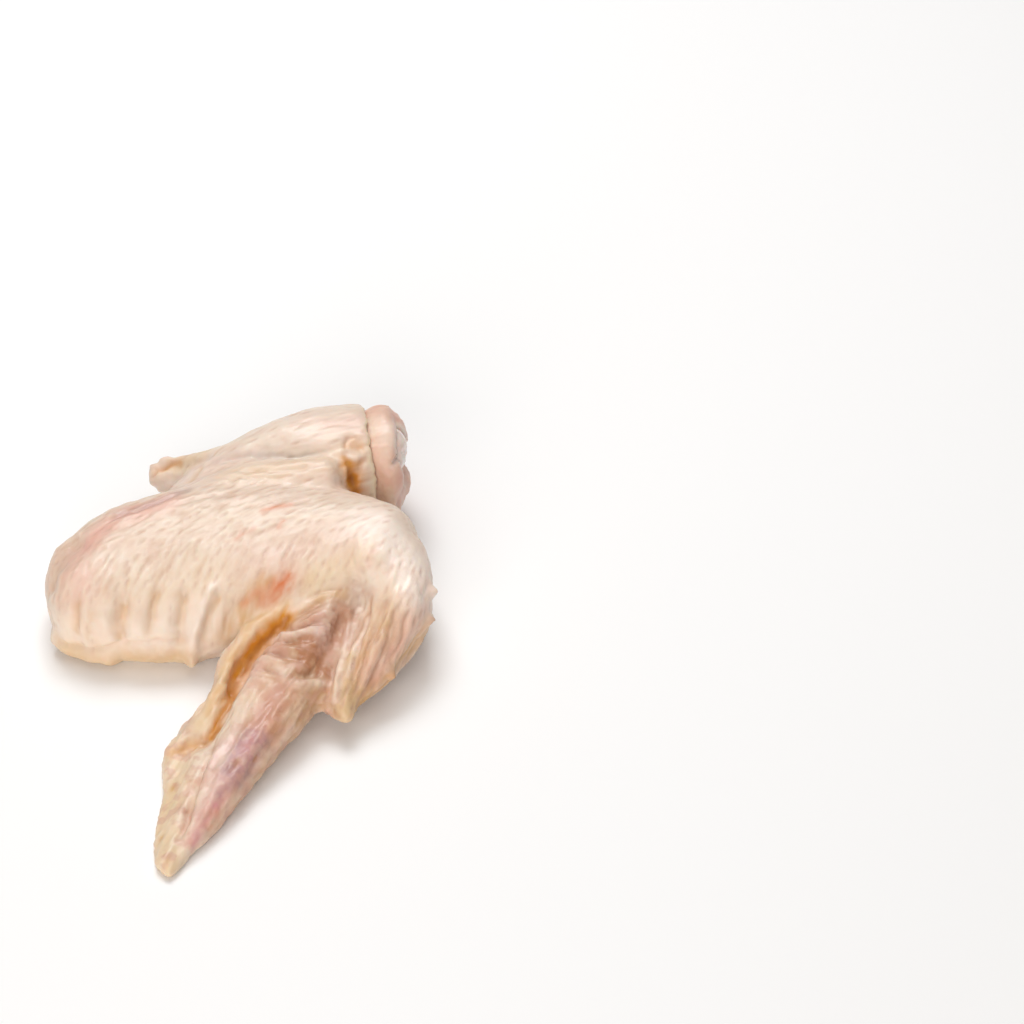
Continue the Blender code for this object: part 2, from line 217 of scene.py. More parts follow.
thumb_folds = [
    (0.8, 0.8, [(29.8, 3.5, 18.9), (28.3, -1.7, 16.4), (26.8, -8.0, 14.2), (26.1, -14.6, 13.4)]),
    (0.7, 0.7, [(32.2, 1.2, 19.1), (30.5, -6.8, 16.9), (28.9, -13.8, 14.9), (27.6, -19.5, 12.3)]),
    (0.7, 0.7, [
        (35.1, -0.5, 20.0), (33.4, -8.1, 16.8), (31.2, -15.1, 13.8), (29.0, -21.1, 10.7),
        (27.2, -23.8, 9.4),
    ]),
    (0.6, 0.7, [
        (37.9, -2.4, 19.8), (36.2, -10.1, 16.1), (33.5, -15.9, 12.1), (30.3, -21.2, 8.2),
        (28.6, -23.6, 7.2),
    ]),
    (0.5, 0.7, [(40.7, -3.2, 18.7), (39.1, -9.3, 15.4), (36.6, -14.0, 12.2)]),
    (-0.5, 1.0, [(31.0, 1.8, 19.3), (29.6, -4.2, 17.2), (27.9, -10.9, 15.0), (26.6, -17.0, 13.2)]),
    (-0.5, 1.0, [(36.6, -1.4, 20.2), (34.9, -9.1, 16.8), (32.4, -15.6, 13.2), (29.8, -21.2, 9.6)]),
    # the edge of its lower end, which lies over the joint, and the fold round that end
    (1.2, 0.9, [(24.4, -12.0, 12.9), (23.6, -15.9, 12.1), (22.8, -20.4, 11.2), (22.0, -23.6, 9.5)]),
    (-1.0, 1.0, [(25.6, -11.8, 13.3), (24.7, -15.6, 12.4), (24.0, -20.0, 11.5), (23.4, -24.0, 9.9)]),
    (0.8, 0.7, [
        (29.8, -15.1, 14.4), (28.5, -18.5, 12.6), (26.8, -22.1, 11.0), (25.0, -24.2, 9.9),
        (24.0, -24.8, 9.4),
    ]),
    # two short frills of skin on its outer edge
    (-2.6, 0.9, [(45.8, 7.6, 17.4), (45.2, 4.6, 15.6)]),
    (-2.4, 0.9, [(45.6, 1.8, 14.2), (44.8, -1.4, 12.2)]),
]
quill_folds = [
    # troughs between the quill roots on the flat's front, and the pads between them
    (0.9, 1.0, [(-36.4, 4.0, 18.4), (-36.8, 0.3, 15.5), (-37.3, -0.8, 10.2)]),
    (0.4, 0.8, [(-33.2, 1.4, 18.0), (-33.6, -0.3, 16.0), (-34.4, -2.2, 9.6)]),
    (1.6, 1.3, [(-25.9, 3.8, 18.0), (-26.0, -0.5, 15.3), (-26.5, -2.8, 8.9)]),
    (1.1, 0.9, [(-17.8, 5.4, 19.4), (-18.6, 2.4, 17.4), (-19.7, -2.8, 12.7)]),
    (1.3, 1.0, [(-11.7, 5.2, 19.3), (-12.3, 0.2, 15.6), (-12.6, -3.6, 9.6)]),
    (0.9, 1.0, [(-2.8, 3.8, 19.2), (-5.6, 0.2, 15.6), (-7.3, -3.0, 9.7)]),
    (0.6, 0.9, [(2.8, 3.5, 19.5), (-0.4, 0.2, 15.6), (-3.4, -2.9, 9.6)]),
    (-0.5, 2.0, [(-30.0, 1.2, 17.2), (-30.2, -1.4, 13.6), (-30.6, -2.6, 9.0)]),
    (-0.5, 1.8, [(-22.4, 2.2, 17.6), (-22.7, -1.0, 14.0), (-23.0, -3.4, 9.4)]),
    (-0.4, 1.6, [(-15.2, 2.6, 17.8), (-15.8, -1.2, 13.8), (-16.2, -3.6, 9.8)]),
    (-1.3, 1.6, [(-4.0, 5.4, 20.0), (-7.2, 1.1, 16.4), (-9.5, -3.2, 11.2), (-10.6, -3.1, 4.7)]),
    # the crease along the flat's front, and the roll of pale skin between it and the table
    (-0.5, 0.9, [
        (-41.6, 3.0, 8.4), (-38.6, 0.9, 7.0), (-31.6, -2.2, 8.8), (-25.5, -3.0, 11.0),
        (-12.6, -3.4, 12.4),
    ]),
    (0.8, 0.7, [
        (-41.6, 3.2, 6.4), (-39.1, 0.8, 5.0), (-31.6, -2.4, 7.0), (-25.5, -3.1, 9.2),
        (-19.6, -3.8, 10.1),
    ]),
    (0.5, 0.7, [(-21.0, -3.6, 10.0), (-19.6, -3.8, 10.1), (-12.6, -3.5, 10.7), (-9.4, -3.4, 10.0)]),
    (-2.6, 3.4, [
        (-44.0, 7.0, 4.0), (-42.0, 4.0, 3.0), (-39.0, 0.6, 2.2), (-33.0, -2.0, 2.4),
        (-27.0, -2.6, 2.6),
    ]),
    (1.9, 4.4, [(-46.0, 6.0, 14.6), (-44.6, 12.0, 17.6), (-41.6, 17.2, 19.8), (-36.6, 22.2, 21.2)]),
]
tip_folds = [
    (-0.5, 1.3, [
        (8.0, -29.5, 11.7), (3.4, -36.7, 9.8), (-0.2, -45.2, 8.2), (-3.2, -55.0, 6.6),
        (-6.3, -64.0, 3.6),
    ]),
    (1.0, 0.8, [(-2.4, -33.8, 8.4), (-4.0, -41.0, 7.2), (-5.9, -48.7, 5.9), (-8.3, -62.1, 3.8)]),
    (-0.5, 0.9, [(-0.8, -34.6, 9.2), (-2.6, -41.4, 8.0), (-4.6, -49.2, 6.6), (-7.0, -62.0, 4.2)]),
    (0.5, 0.8, [(2.4, -48.0, 7.8), (-0.3, -51.2, 7.4)]),
    (0.4, 0.8, [(12.6, -32.0, 9.8), (8.2, -39.0, 8.4), (3.6, -48.0, 7.0)]),
    (-0.4, 0.9, [(14.6, -33.6, 7.4), (10.2, -40.6, 6.4), (5.4, -49.6, 5.4), (1.0, -59.0, 4.4)]),
    (0.5, 1.0, [(-12.6, -35.6, 4.2), (-9.4, -35.0, 5.2), (-6.6, -33.6, 5.9)]),
]
drumette_folds = [
    # the skin fold in the crook, the valley behind it and the grooves along it
    (0.35, 0.8, [
        (-7.6, 43.6, 23.7), (0.8, 46.2, 25.7), (3.3, 44.3, 25.9), (11.4, 43.4, 26.6),
        (22.7, 44.4, 28.3),
    ]),
    (0.5, 0.8, [(-2.8, 38.3, 26.5), (5.0, 37.1, 28.1), (14.1, 37.2, 28.6), (22.4, 39.3, 27.5)]),
    (0.3, 0.7, [(-8.0, 37.0, 25.0), (2.0, 35.4, 27.2), (12.0, 35.2, 27.8)]),
    (0.4, 1.6, [(1.5, 46.4, 26.1), (7.1, 47.7, 28.3), (11.3, 46.7, 28.5)]),
    (0.5, 0.7, [(-12.7, 39.6, 22.3), (-11.1, 44.2, 22.3), (-9.8, 49.5, 20.7), (-5.7, 50.9, 23.4)]),
    (0.8, 0.9, [(-24.0, 54.2, 13.0), (-21.1, 53.7, 13.9), (-19.2, 54.8, 14.9), (-17.1, 54.9, 16.1)]),
    (0.4, 1.0, [(-18.6, 54.2, 14.9), (-14.0, 53.3, 17.4), (-8.0, 51.0, 21.0)]),
    # the line below the flat's crest, by the elbow
    (0.5, 0.8, [(-32.9, 24.0, 22.3), (-27.1, 26.3, 23.4), (-21.2, 28.1, 24.4), (-13.7, 32.0, 25.2)]),
    (0.3, 0.7, [(-16.0, 27.6, 25.4), (-7.7, 29.6, 26.3), (0.1, 29.6, 27.1)]),
    # the torn pocket at the shoulder cut, its rim, and the slot under it
    (1.2, 1.2, [(26.4, 46.6, 28.4), (28.4, 45.2, 28.0), (29.6, 45.6, 28.2)]),
    (-0.6, 0.7, [(25.6, 46.4, 28.9), (26.6, 48.4, 29.6), (29.6, 48.9, 29.8)]),
    (0.5, 0.5, [
        (24.6, 44.0, 28.0), (24.3, 45.7, 28.8), (25.0, 47.5, 29.6), (26.6, 48.2, 29.6),
        (28.4, 47.2, 29.1),
    ]),
    (-0.5, 0.8, [(25.4, 43.2, 27.3), (26.6, 42.8, 27.0)]),
    (1.6, 1.2, [(25.2, 41.0, 25.0), (25.8, 39.8, 23.4), (26.4, 38.6, 20.6)]),
    (0.8, 0.9, [(29.6, 43.4, 26.7), (28.2, 42.5, 26.2), (26.2, 39.8, 22.6)]),
    (-1.0, 1.2, [(22.8, 43.4, 27.8), (24.0, 41.0, 25.4), (24.2, 38.8, 22.0)]),
]

places, normals = read_places(skin)

# Folds and tints are found from where each place lay at first, shifted a little so that no line runs true.
wandering = cloudy_ways(places / 4.5, (11, 12, 13)) + 0.5 * cloudy_ways(places / 2.0, (14, 15, 16))
wandered = places + STRAY * wandering

# The flap of loose skin at the elbow is pressed thin from front to back, spread a little and frayed.
through = np.array((0.0, 0.766, -0.643))
upward = np.array((0.0, 0.643, 0.766))
flap_share = (1.0 - eased(places[:, 0], -19.0, -11.0)) * eased(places[:, 1], 46.0, 50.0)
from_middle = places * (0.0, 1.0, 1.0) - (0.0, 55.3, 11.2)
places -= (0.5 * flap_share * (from_middle @ through))[:, None] * through
places += (0.15 * flap_share * (from_middle @ upward))[:, None] * upward
places += (1.1 * flap_share * cloudy(places / 3.0, 10))[:, None] * upward
flap_end = flap_share * (1.0 - eased(places[:, 0], -22.5, -18.5))
places[:, 0] -= flap_end * cloudy(places / 1.8, 18)

lift = np.zeros(len(places))
# The folds also paint shade into the skin's colour, fuller the deeper the fold.
creased = np.zeros(len(places))
for depth, half_width, line in wrist_folds + thumb_folds + quill_folds + tip_folds + drumette_folds:
    strength = near_line(wandered, line, half_width, FOLD_FADE)
    lift -= depth * strength
    creased = np.maximum(creased, strength * min(1.0, max(0.0, depth) / FULL_FOLD))

# The skin has a fine drawn-out grain whose run and width differ from part to part.
x, y, z = places.T
to_front = 1.0 - eased(y, 9.0, 24.0)
down_front = (1.0 - eased(y, -1.0, 6.0)) * (1.0 - eased(x, 6.0, 14.0)) * eased(y, -5.0, -3.0)
on_thumb = eased(x, 22.0, 27.0) * (1.0 - eased(y, 4.0, 12.0))
on_drumette = eased(y, 34.0, 38.0)
on_tip = (1.0 - on_thumb) * (1.0 - eased(y, -7.0, -3.0))
joint_line = [(21.0, -6.5, 16.2), (12.0, -10.5, 15.0), (9.0, -16.0, 13.0)]
on_membrane = np.minimum(1.0, 1.5 * near_line(places, joint_line, 5.0))
grain_runs = [
    ((-0.85, -0.46, 0.0), np.ones(len(places)), 0.85),
    ((-0.38, -0.90, -0.30), to_front, 0.9),
    ((-0.05, -0.50, -0.85), down_front, 1.2),
    ((-0.42, -0.85, -0.20), on_tip, 0.9),
    ((0.85, -0.40, 0.30), on_membrane, 0.9),
    ((-0.30, -0.85, -0.42), on_thumb, 1.0),
    ((0.92, 0.35, 0.12), on_drumette, 1.0),
]
grain = np.zeros(len(places))
for number, (direction, share, width) in enumerate(grain_runs):
    grain += share * (fibres(places, direction, width, 20 + number) - grain)
grain *= 1.0 - 0.4 * eased(y, 50.0, 58.0)
lift += 0.24 * grain * (1.0 + 0.8 * on_thumb + 0.9 * on_tip + 0.8 * on_membrane)

# Soft lumps, large and small, and finer ones on the tip.
lift += 0.32 * cloudy(places / 7.5, 3) + 0.16 * cloudy(places / 3.2, 4)
lift += 0.15 * on_tip * cloudy(places / 1.5, 5)

# Single bumps and hollows: the place, its height and its radius.
bumps = [
    # a point of skin on the thumb's edge, and the thumb's slimmer outer side
    ((37.2, -14.4, 9.0), 1.8, 1.2),
    ((43.6, -7.0, 10.0), -2.2, 5.0),
    ((40.0, -11.0, 8.0), -1.2, 3.5),
    # the thumb's lower end
    ((26.4, -25.6, 6.6), 1.9, 1.7),
    ((22.8, -25.0, 8.4), -1.1, 1.8),
    ((28.0, -24.0, 6.4), 1.0, 2.4),
    # the nub below the flat's front
    ((-10.4, -3.2, 3.8), 2.8, 1.7),
    # the corner of the elbow's flap
    ((-24.2, 54.6, 13.6), 1.3, 1.6),
    ((-21.8, 56.0, 15.4), -0.9, 1.8),
]
for spot, height, radius in bumps:
    lift += height * near_spot(places, spot, radius)
places += normals * lift[:, None]

# The tip's end is drawn out to a point, and the open end by the cut is ragged.
to_point = np.array((-0.15, -0.98, 0.0))
places += 2.4 * near_spot(places, (-9.6, -68.6, 1.6), 2.6)[:, None] * to_point
cut_face = np.stack((0.0 * y, y, z), axis=1)
ragged = cloudy(cut_face / 3.0, 8) + 0.5 * cloudy(cut_face / 1.2, 9)
places[:, 0] += 0.45 * ragged * by_the_cut(x, y)
places[:, 2] = np.maximum(places[:, 2], 0.0)
move_to(skin, places)

# What the colours and the feather roots read, all of it found on the folded skin.
x, y, z = places.T
store(skin, "grain", grain)
# The folds' painted shade.
store(skin, "creased", creased)
store(skin, "cut", by_the_cut(x, y) * eased(normals[:, 0], 0.25, 0.65))

# The feather roots lie as the grain runs. The joint and the tip have none, but for a strip below the thumb.
lie = np.zeros((len(places), 3))
for direction, share, _ in grain_runs:
    lie += share[:, None] * (np.array(direction) - lie)
layer = skin.data.attributes.new("lie", "FLOAT_VECTOR", "POINT")
layer.data.foreach_set("vector", lie.astype(np.float32).ravel())
on_flat = eased(y, -6.0, 0.0) * (1.0 - eased(y, 33.0, 37.0))
on_wrist = eased(x, 24.0, 30.0) * eased(y, -6.0, 2.0) * (1.0 - eased(y, 20.0, 28.0))
bare = near_line(places, [(13.3, -6.0, 15.0), (16.0, -14.0, 14.0), (10.0, -22.0, 11.0)], 9.0)
pitted = np.clip(on_flat + 0.75 * on_thumb + 0.35 * on_drumette, 0.0, 1.0) * (1.0 - np.clip(1.4 * bare, 0, 1))
pitted *= eased(z, 3.0, 9.0) * (1.0 - 0.75 * down_front) * (1.0 - 0.55 * on_wrist)
store(skin, "pitted", np.maximum(pitted, near_line(places, [(21.3, -22.0, 9.6), (14.4, -31.1, 7.3)], 5.5)))
below_thumb = near_line(places, [(22.0, -21.0, 9.6), (13.0, -33.0, 6.6)], 6.0)
store(skin, "dense", np.maximum(on_thumb * (1.0 - on_wrist), below_thumb))

# The thin skin of the tip and of the joint is mottled, but not the fat in the crease.
crease_line = [(12.3, -2.2, 16.5), (6.4, -6.7, 13.2), (2.2, -13.6, 10.0), (-3.8, -32.3, 6.9)]
in_crease = near_line(places, crease_line, 4.0)
mottled = np.clip(on_tip + on_membrane + 0.3 * on_thumb, 0.0, 1.0)
store(skin, "mottled", mottled * (1.0 - np.clip(2.5 * in_crease, 0.0, 1.0)))

# Tints of the skin, from the ones laid first to the ones laid last: the colour, and for each place
# its strength, its half width in millimetres and the line that it follows. Some tints are painted shade
# in folds, hollows and grooves, and one is painted light and highlights on lit sides, ridges and edges.
tints = {
    "fat": ((0.80, 0.60, 0.36), [
        (0.8, 4.5, [(-10.6, -35.2, 4.6), (-11.4, -45.6, 3.5), (-12.4, -55.0, 2.6), (-11.6, -68.0, 2.2)]),
        (0.9, 2.6, [(11.7, 0.3, 17.4), (4.5, -4.8, 15.1), (0.2, -12.1, 12.3), (-6.5, -28.8, 7.3)]),
        (0.35, 5.0, [(-2.8, 38.8, 26.5), (5.0, 38.0, 28.1), (22.4, 40.0, 27.5)]),
        (0.6, 2.6, [(-22.4, 52.2, 12.8), (-18.5, 52.6, 14.5), (-14.8, 54.1, 17.3), (-10.0, 54.5, 20.0)]),
        (1.7, 3.0, [(26.8, -14.6, 13.2), (25.4, -21.6, 11.2), (26.6, -24.5, 9.2), (27.6, -24.0, 6.2)]),
        (1.1, 3.8, [(-38.0, 1.5, 3.4), (-24.0, -2.5, 3.0), (-12.0, -2.8, 3.4)]),
        (0.6, 4.5, [(18.0, 5.0, 21.0), (27.0, 8.0, 23.4), (33.0, 12.0, 26.0)]),
        (0.4, 7.0, [(-6.0, 6.0, 20.0), (-18.0, 2.0, 16.0), (-34.0, 1.0, 12.0)]),
        (0.6, 1.6, [(11.1, -17.4, 14.1), (12.9, -21.1, 13.8), (16.4, -22.4, 13.8), (23.0, -19.3, 11.5)]),
    ]),
    "tan": ((0.635, 0.368, 0.15), [
        # Painted shade in the troughs between the quill roots, the crease along the flat's front, the fold by
        # the elbow, the fold below the lip and the band along the table. The tan by the red patch, the broad
        # tan on the thumb and the tip, and the small spots on the tip are the skin's own.
        (1.3, 0.8, [(-26.2, 1.4, 16.7), (-26.0, 0.0, 15.7), (-26.2, -2.0, 13.5), (-26.9, -2.7, 9.8)]),
        (1.1, 1.3, [(-26.3, -1.4, 14.2), (-26.8, -2.6, 10.6)]),
        (1.35, 1.0, [(-36.6, 1.8, 17.0), (-36.8, 0.3, 15.5), (-37.3, -0.8, 10.2)]),
        (0.8, 0.9, [(-33.6, 0.2, 15.6), (-34.0, -0.8, 14.0), (-34.4, -2.2, 9.6)]),
        (0.8, 1.0, [(-18.2, 3.6, 18.2), (-18.6, 2.4, 17.4), (-19.7, -2.8, 12.7)]),
        (0.95, 1.0, [(-12.0, 2.4, 17.4), (-12.3, 0.2, 15.6), (-12.6, -3.6, 9.6)]),
        (0.7, 0.9, [(-3.8, 2.4, 17.8), (-5.6, 0.2, 15.6), (-7.3, -3.0, 9.7)]),
        (0.6, 0.8, [(-22.6, 6.0, 19.0), (-22.9, 3.6, 17.8)]),
        (0.6, 0.8, [(-30.6, 5.0, 18.6), (-31.0, 2.0, 16.8)]),
        (0.9, 3.4, [(7.2, 4.2, 20.2), (3.8, 1.2, 17.8), (1.5, -1.1, 14.9), (-2.2, -2.6, 10.6)]),
        (0.6, 0.7, [(-12.7, 39.6, 22.3), (-11.1, 44.2, 22.3), (-9.8, 49.5, 20.7), (-5.7, 50.9, 23.4)]),
        (0.5, 0.6, [(-39.1, 0.8, 5.0), (-31.6, -2.4, 7.0), (-25.5, -3.1, 9.2), (-12.6, -3.5, 10.7)]),
        (0.75, 3.2, [(-39.0, 0.6, 2.4), (-31.0, -3.4, 3.6), (-25.0, -4.0, 4.6), (-12.0, -3.6, 5.0)]),
        (0.7, 1.0, [(-30.6, -2.8, 4.4), (-28.6, -3.0, 5.0)]),
        (0.45, 1.8, [(-33.8, -2.3, 9.1), (-29.2, -2.8, 7.6), (-24.4, -3.5, 7.6)]),
        (0.8, 2.0, [(14.0, -2.2, 17.4), (19.2, 0.2, 18.8), (25.0, 2.6, 18.8)]),
        (0.75, 6.0, [(25.0, -20.0, 11.0), (31.0, -14.0, 14.4), (36.0, -5.0, 17.6), (40.0, 3.0, 19.4)]),
        (1.05, 4.6, [(31.0, -21.0, 7.0), (39.0, -13.0, 9.0), (44.6, -2.0, 11.0)]),
        (0.7, 7.0, [(19.0, -7.0, 16.4), (14.0, -14.0, 14.6), (9.0, -24.0, 12.0)]),
        (1.0, 7.0, [(13.0, -23.0, 12.4), (9.0, -35.0, 10.2)]),
        (0.9, 5.0, [(22.0, -20.0, 10.6), (14.0, -31.0, 8.0)]),
        (0.7, 4.5, [(22.0, -24.0, 9.0), (14.0, -33.0, 6.6), (6.0, -46.0, 4.6), (0.0, -58.0, 3.4)]),
        (1.0, 0.9, [(-11.2, -45.4, 3.6), (-11.6, -45.8, 3.4)]),
        (0.8, 0.8, [(-7.7, -46.1, 5.8), (-7.9, -46.5, 5.7)]),
        (0.8, 0.9, [(-13.0, -60.2, 2.6), (-13.4, -60.6, 2.6)]),
        (0.7, 0.9, [(-10.7, -66.5, 3.3), (-11.1, -66.9, 3.3)]),
    ]),
    "blush": ((0.80, 0.43, 0.35), [
        (0.9, 3.6, [(-35.6, 17.0, 21.6), (-32.0, 23.0, 22.5), (-27.1, 25.8, 23.4), (-17.0, 29.5, 25.0)]),
        (0.55, 5.0, [(-37.6, 15.0, 20.8), (-36.9, 4.6, 18.6)]),
        (0.6, 3.4, [(43.0, 1.0, 17.4), (39.0, -10.0, 14.6), (33.0, -16.5, 11.6)]),
        (0.2, 6.0, [(5.0, 9.0, 22.6), (14.0, 12.0, 25.0), (24.0, 14.0, 26.2)]),
        (0.5, 4.0, [(20.0, 51.0, 29.6), (28.0, 52.0, 30.4)]),
    ]),
    "lilac": ((0.38, 0.265, 0.25), [
        (2.6, 3.0, [(6.2, -37.6, 10.1), (4.4, -41.7, 9.3), (3.0, -45.6, 8.5)]),
        (1.1, 1.2, [(2.4, -48.0, 7.8), (-0.3, -51.2, 7.4)]),
        # Painted shade along the drumette's fold and valley, the fold below the flat's crest, the hollow by
        # the joint and the wrinkles by the wrist. The two lines above are a bruise on the tip.
        (0.15, 3.0, [(1.5, 46.4, 26.1), (7.1, 47.2, 28.3), (14.0, 46.6, 28.9)]),
        (0.6, 3.4, [(24.6, -4.8, 15.2), (20.0, -9.0, 16.6), (23.0, -16.0, 12.4)]),
        (0.5, 1.2, [(-30.0, 26.0, 23.2), (-21.2, 29.0, 24.4), (-12.7, 33.2, 25.2)]),
        (0.45, 1.1, [(-4.3, 45.9, 24.6), (0.8, 46.4, 25.9), (6.0, 45.0, 26.4), (11.4, 44.0, 26.8)]),
        (0.5, 1.5, [(-6.8, 45.6, 23.9), (-4.3, 45.9, 24.6), (-1.9, 46.9, 25.4)]),
        (0.45, 2.6, [(27.0, -1.0, 16.6), (29.0, 2.4, 19.0)]),
    ]),
    "magenta": ((0.66, 0.30, 0.30), [
        (1.0, 1.7, [(-1.0, -54.0, 6.8), (-2.8, -58.4, 5.4), (-5.2, -63.0, 3.8)]),
        (0.6, 2.2, [(0.7, -36.8, 9.4), (-0.5, -38.9, 8.9), (-1.7, -42.2, 8.3)]),
        (0.65, 4.0, [(12.0, -24.0, 12.6), (8.0, -33.0, 11.0), (3.0, -44.0, 8.8), (-3.0, -57.0, 6.2)]),
        (0.36, 5.5, [(22.6, -6.0, 16.2), (12.0, -9.0, 15.2), (8.0, -18.0, 13.4)]),
    ]),
    "brown": ((0.47, 0.215, 0.11), [
        # Mostly painted shade: the hollow between thumb and tip, the grooves below the lip and between the
        # joint's folds, the slot and pocket at the cut, a trough of the flat's front, and the shadows under
        # the sinew and the thumb's lower edge. The wide strips over the tip and the small patches on it are
        # the skin's own brown.
        (1.0, 2.3, [(25.9, -0.9, 17.5), (24.4, -5.4, 14.8), (22.6, -10.4, 13.2), (19.0, -15.8, 12.8)]),
        (1.0, 3.8, [(21.5, -12.6, 12.8), (18.2, -17.4, 12.9), (14.0, -19.6, 13.8)]),
        (0.9, 0.9, [(13.7, -3.9, 16.3), (19.2, -1.2, 18.0), (24.0, 0.0, 18.2)]),
        (0.75, 0.8, [(15.5, -4.4, 16.4), (19.0, -3.6, 17.2), (25.4, -0.6, 17.4)]),
        (0.6, 0.8, [(12.0, -6.4, 15.0), (15.0, -9.0, 16.4), (19.6, -9.0, 16.6)]),
        (0.5, 1.0, [(20.4, -17.2, 12.2), (16.6, -19.0, 13.6), (12.0, -23.0, 13.0)]),
        (0.6, 1.0, [(5.3, -10.7, 11.1), (10.8, -13.4, 14.9), (18.4, -15.2, 13.8)]),
        (0.5, 0.9, [(8.2, -7.8, 12.4), (12.9, -9.9, 15.9), (17.4, -10.4, 16.4)]),
        (0.45, 5.5, [(22.0, -23.0, 9.6), (15.0, -32.0, 6.4), (5.0, -49.0, 3.4)]),
        (1.0, 1.7, [(25.0, 41.4, 25.6), (25.8, 39.8, 23.4), (26.4, 38.6, 20.6)]),
        (0.8, 1.0, [(29.6, 43.4, 26.7), (28.2, 42.5, 26.2), (26.2, 39.8, 22.6)]),
        (0.5, 0.45, [(24.6, 44.0, 28.0), (24.3, 45.7, 28.8), (25.0, 47.5, 29.6), (26.6, 48.2, 29.6)]),
        (1.9, 3.4, [(15.9, -10.3, 16.3), (17.2, -13.0, 15.7), (18.8, -14.5, 14.0), (20.1, -15.3, 12.1)]),
        (0.55, 4.8, [(18.6, -22.7, 12.2), (15.4, -25.9, 12.0), (13.2, -29.3, 11.5), (11.2, -33.7, 10.1)]),
        (0.35, 0.8, [(-26.2, -1.0, 14.6), (-26.4, -2.2, 12.0)]),
        (0.5, 1.1, [(14.2, -24.3, 13.1), (16.9, -24.0, 12.2), (20.0, -22.5, 11.0)]),
        (0.7, 1.6, [(23.4, -15.9, 12.1), (22.4, -20.4, 11.2), (21.6, -23.6, 9.5)]),
        # small patches on the tip
        (0.8, 1.7, [(13.6, -27.6, 12.1), (12.6, -29.2, 12.0)]),
        (0.8, 1.5, [(13.0, -33.4, 8.6), (12.4, -34.6, 7.9)]),
        (0.5, 1.6, [(5.6, -32.0, 10.8), (4.8, -33.4, 10.4)]),
        (0.8, 0.9, [(7.4, -40.6, 8.4), (7.0, -41.3, 8.1)]),
        (0.8, 0.8, [(9.3, -39.5, 7.0), (8.9, -40.2, 6.8)]),
        (0.45, 1.6, [(9.2, -27.9, 12.1), (8.6, -29.2, 11.9)]),
        (0.6, 1.5, [(16.9, -27.8, 9.5), (16.1, -28.9, 9.1)]),
        (0.7, 1.0, [(2.8, -42.4, 9.0), (2.2, -43.8, 8.7)]),
    ]),
    "red": ((0.66, 0.195, 0.07), [
        (0.85, 2.5, [(12.8, 5.2, 21.2), (9.8, 2.8, 19.5), (7.5, 1.6, 18.4)]),
        (1.0, 0.7, [(13.4, 6.1, 21.9), (11.7, 4.3, 20.7), (9.8, 3.0, 19.6), (7.5, 1.9, 18.7)]),
        (0.9, 0.7, [(12.4, 3.1, 19.8), (10.3, 2.1, 18.9), (8.5, 1.1, 17.9)]),
        (0.7, 1.2, [(6.6, 3.3, 19.7), (4.3, 2.1, 18.6), (2.2, 1.2, 17.5)]),
        (0.35, 0.9, [(-1.0, -55.2, 6.0), (-1.5, -56.2, 5.7)]),
        (0.35, 0.9, [(-1.8, -57.8, 4.4), (-2.3, -58.8, 4.1)]),
        (0.8, 0.8, [(6.3, 23.1, 27.1), (9.0, 24.2, 27.4), (12.1, 24.8, 27.5)]),
        (0.6, 0.8, [(0.0, 15.5, 24.6), (1.6, 17.2, 25.3), (3.2, 18.1, 25.7)]),
        (0.6, 0.7, [(10.0, 18.0, 26.2), (11.1, 19.9, 26.7)]),
        (0.5, 0.9, [(31.0, 7.1, 23.8), (31.6, 10.0, 25.9), (34.6, 12.3, 26.0)]),
    ]),
    "amber": ((0.67, 0.272, 0.022), [
        (1.45, 2.1, [(12.3, -2.2, 16.5), (9.3, -4.1, 14.8), (6.4, -6.7, 13.2), (4.0, -9.9, 11.4)]),
        (1.1, 1.5, [(4.0, -9.9, 11.4), (2.2, -13.6, 10.0), (0.8, -18.0, 8.7), (-0.6, -22.8, 8.4)]),
        (1.05, 1.2, [(-0.6, -22.8, 8.4), (-2.0, -27.4, 7.9), (-3.8, -32.3, 6.9)]),
        (0.45, 2.4, [
            (6.8, -3.4, 15.7), (4.1, -6.9, 14.4), (1.9, -10.5, 12.2), (0.3, -15.3, 10.3),
            (-3.0, -25.9, 8.3),
        ]),
        (0.55, 1.5, [(-12.0, -35.4, 4.4), (-7.5, -34.0, 5.3), (-4.8, -32.6, 6.6)]),
        (1.5, 2.4, [(25.2, 41.4, 25.6), (26.4, 38.8, 21.0)]),
        (0.6, 1.6, [(25.4, 45.6, 28.4), (26.4, 46.8, 28.8), (28.0, 45.6, 28.3)]),
        (0.6, 1.2, [(-23.0, 54.0, 13.3), (-21.1, 53.7, 13.9), (-19.2, 54.8, 14.9), (-17.1, 54.9, 16.1)]),
    ]),
    "dark": ((0.34, 0.10, 0.015), [
        # Painted shade in the tip's groove, in the groove inside the rolled edge and in the slot under the
        # cut.
        (0.3, 0.7, [(-2.4, -33.8, 8.4), (-4.0, -41.0, 7.2), (-5.9, -48.7, 5.9), (-8.3, -62.1, 3.8)]),
        (0.75, 0.65, [
            (12.6, -2.4, 16.6), (9.7, -4.3, 14.7), (7.0, -6.9, 13.1), (4.6, -10.0, 11.2),
            (2.9, -13.6, 9.8),
        ]),
        (0.6, 0.6, [(2.9, -13.6, 9.8), (1.4, -17.8, 8.6), (-0.1, -22.8, 8.3), (-3.4, -32.3, 6.9)]),
        (0.85, 1.0, [(25.3, 40.6, 24.6), (25.8, 39.8, 23.4), (26.4, 38.6, 20.6)]),
    ]),
    "pale": ((0.98, 0.83, 0.73), [
        # Painted light: the elbow's flap, the drumette's back, the wrist and the flat's front are lit
        # brighter. Painted highlights run along the slot's rim, the wrist's knob and the ridges and edges of
        # the joint, the thumb and the tip. The sinew across the joint is pale of its own.
